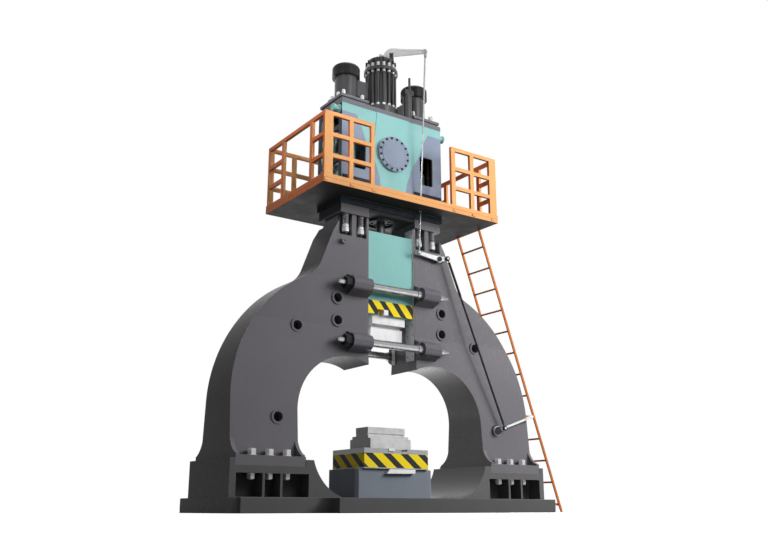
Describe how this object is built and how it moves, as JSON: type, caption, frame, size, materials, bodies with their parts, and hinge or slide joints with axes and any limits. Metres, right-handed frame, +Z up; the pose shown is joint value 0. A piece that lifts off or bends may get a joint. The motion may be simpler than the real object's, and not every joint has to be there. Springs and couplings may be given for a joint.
{
  "type": "hydraulic forging hammer",
  "caption": "Arch-frame hydraulic forging hammer: anvil between two legs, guided ram on a piston rod, powered head with motors, valve linkage, railed platform and ladder.",
  "frame": {"origin": "underside of the base plate, under the ram axis", "axes": "+X across the frame towards the ladder, +Y away from the operator, +Z up along the ram axis"},
  "size_m": [6.357, 2.459, 7.692],
  "materials": {
    "base_paint": "satin black-grey paint",
    "blue_grey_paint": "satin blue-grey paint",
    "chrome_rod": "hard chrome",
    "coupling_brass": "bare brass and steel",
    "dark_steel": "black paint",
    "die_steel": "milled die steel",
    "frame_paint": "satin dark grey paint on a casting",
    "hazard_paint": "yellow and black stripes on steel",
    "iron": "machined cast iron",
    "liner_steel": "ground steel with an oil film",
    "motor_paint": "satin charcoal paint",
    "orange_paint": "satin orange paint",
    "steel": "ground steel",
    "teal_paint": "satin pale teal paint",
    "zinc": "zinc-plated steel"
  },
  "bodies": {
    "stand": {"base_plate": "base_paint", "pedestal_left": "base_paint", "pedestal_right": "base_paint", "anvil_base": "blue_grey_paint", "sow_block": "hazard_paint", "lower_die_holder": "die_steel", "lower_die": "die_steel", "anvil_keys": "zinc", "frame_left": "frame_paint", "frame_right": "frame_paint", "foot_bolts": "zinc", "foot_nuts": "zinc", "guide_liners": "liner_steel", "liner_screws": "dark_steel", "frame_bushes": "frame_paint", "tie_rods": "steel", "tie_rod_sleeves": "frame_paint", "tie_rod_nuts": "dark_steel", "cylinder": "iron", "gland": "iron", "head_bolts": "zinc", "head_body": "teal_paint", "head_panels": "blue_grey_paint", "head_top_plate": "blue_grey_paint", "head_cover": "blue_grey_paint", "head_ledges": "dark_steel", "buffer_studs": "steel", "buffer_springs": "zinc", "buffer_nuts": "zinc", "motor_left": "motor_paint", "motor_right": "motor_paint", "motor_cowls": "motor_paint", "pump_left": "teal_paint", "pump_right": "teal_paint", "oil_pipes": "steel", "valve_tower": "motor_paint", "tower_bolts": "iron", "valve_cap": "motor_paint", "lever_pins": "dark_steel", "platform_deck": "dark_steel", "platform_edge": "orange_paint", "railings": "orange_paint", "ladder": "orange_paint", "side_ports": "teal_paint", "lifting_eyes": "zinc"},
    "ram_group": {"ram": "teal_paint", "ram_key": "zinc", "upper_die_holder": "die_steel", "upper_die": "die_steel", "piston_rod": "chrome_rod", "piston": "iron", "piston_rings": "iron"},
    "hand_lever": {"hand_lever": "steel"},
    "rocker": {"rocker_lever": "zinc"},
    "pull_rod": {"pull_rod": "dark_steel"},
    "control_rod": {"control_rod": "steel"},
    "valve_lever": {"valve_lever": "zinc"},
    "spool": {"valve_spool": "steel"},
    "rotor_left": {"rotor_left": "coupling_brass"},
    "rotor_right": {"rotor_right": "coupling_brass"}
  },
  "joints": [
    {"name": "ram_slide", "type": "slide", "parent": "stand", "child": "ram_group", "axis": [0, 0, 1], "range_m": [-1.3295, 0.2]},
    {"name": "hand_lever_turn", "type": "hinge", "parent": "stand", "child": "hand_lever", "pos_m": [1.985, -0.44, 1.265], "axis": [0, -1, 0], "range_deg": [-8, 8]},
    {"name": "rocker_turn", "type": "hinge", "parent": "stand", "child": "rocker", "pos_m": [0.906, -0.37, 3.985], "axis": [0, -1, 0], "range_deg": [-7.72, 7.72]},
    {"name": "pull_rod_turn", "type": "hinge", "parent": "hand_lever", "child": "pull_rod", "pos_m": [2.12115, -0.478, 1.31188], "axis": [0, -1, 0], "range_deg": [-8.46, 8.46]},
    {"name": "control_rod_turn", "type": "hinge", "parent": "rocker", "child": "control_rod", "pos_m": [0.47959, -0.4, 4.02186], "axis": [0, -1, 0], "range_deg": [-7.8, 7.8]},
    {"name": "valve_lever_turn", "type": "hinge", "parent": "stand", "child": "valve_lever", "pos_m": [0.13223, -0.13223, 7.558], "axis": [-0.7071, -0.7071, 0], "range_deg": [-5.76, 5.76]},
    {"name": "spool_slide", "type": "slide", "parent": "stand", "child": "spool", "axis": [0, 0, 1], "range_m": [-0.019, 0.019]},
    {"name": "rotor_left_spin", "type": "hinge", "parent": "stand", "child": "rotor_left", "pos_m": [-0.7, 0, 6.6], "axis": [0, 0, 1], "continuous": true},
    {"name": "rotor_right_spin", "type": "hinge", "parent": "stand", "child": "rotor_right", "pos_m": [0.7, 0, 6.6], "axis": [0, 0, 1], "continuous": true}
  ],
  "couplings": [
    {"joint": "rocker_turn", "follows": "hand_lever_turn", "ratio": 0.91507},
    {"joint": "pull_rod_turn", "follows": "hand_lever_turn", "ratio": -1.0073},
    {"joint": "control_rod_turn", "follows": "hand_lever_turn", "ratio": -0.9246},
    {"joint": "valve_lever_turn", "follows": "hand_lever_turn", "ratio": -0.67035},
    {"joint": "spool_slide", "follows": "hand_lever_turn", "m_per_rad": 0.12535}
  ]
}
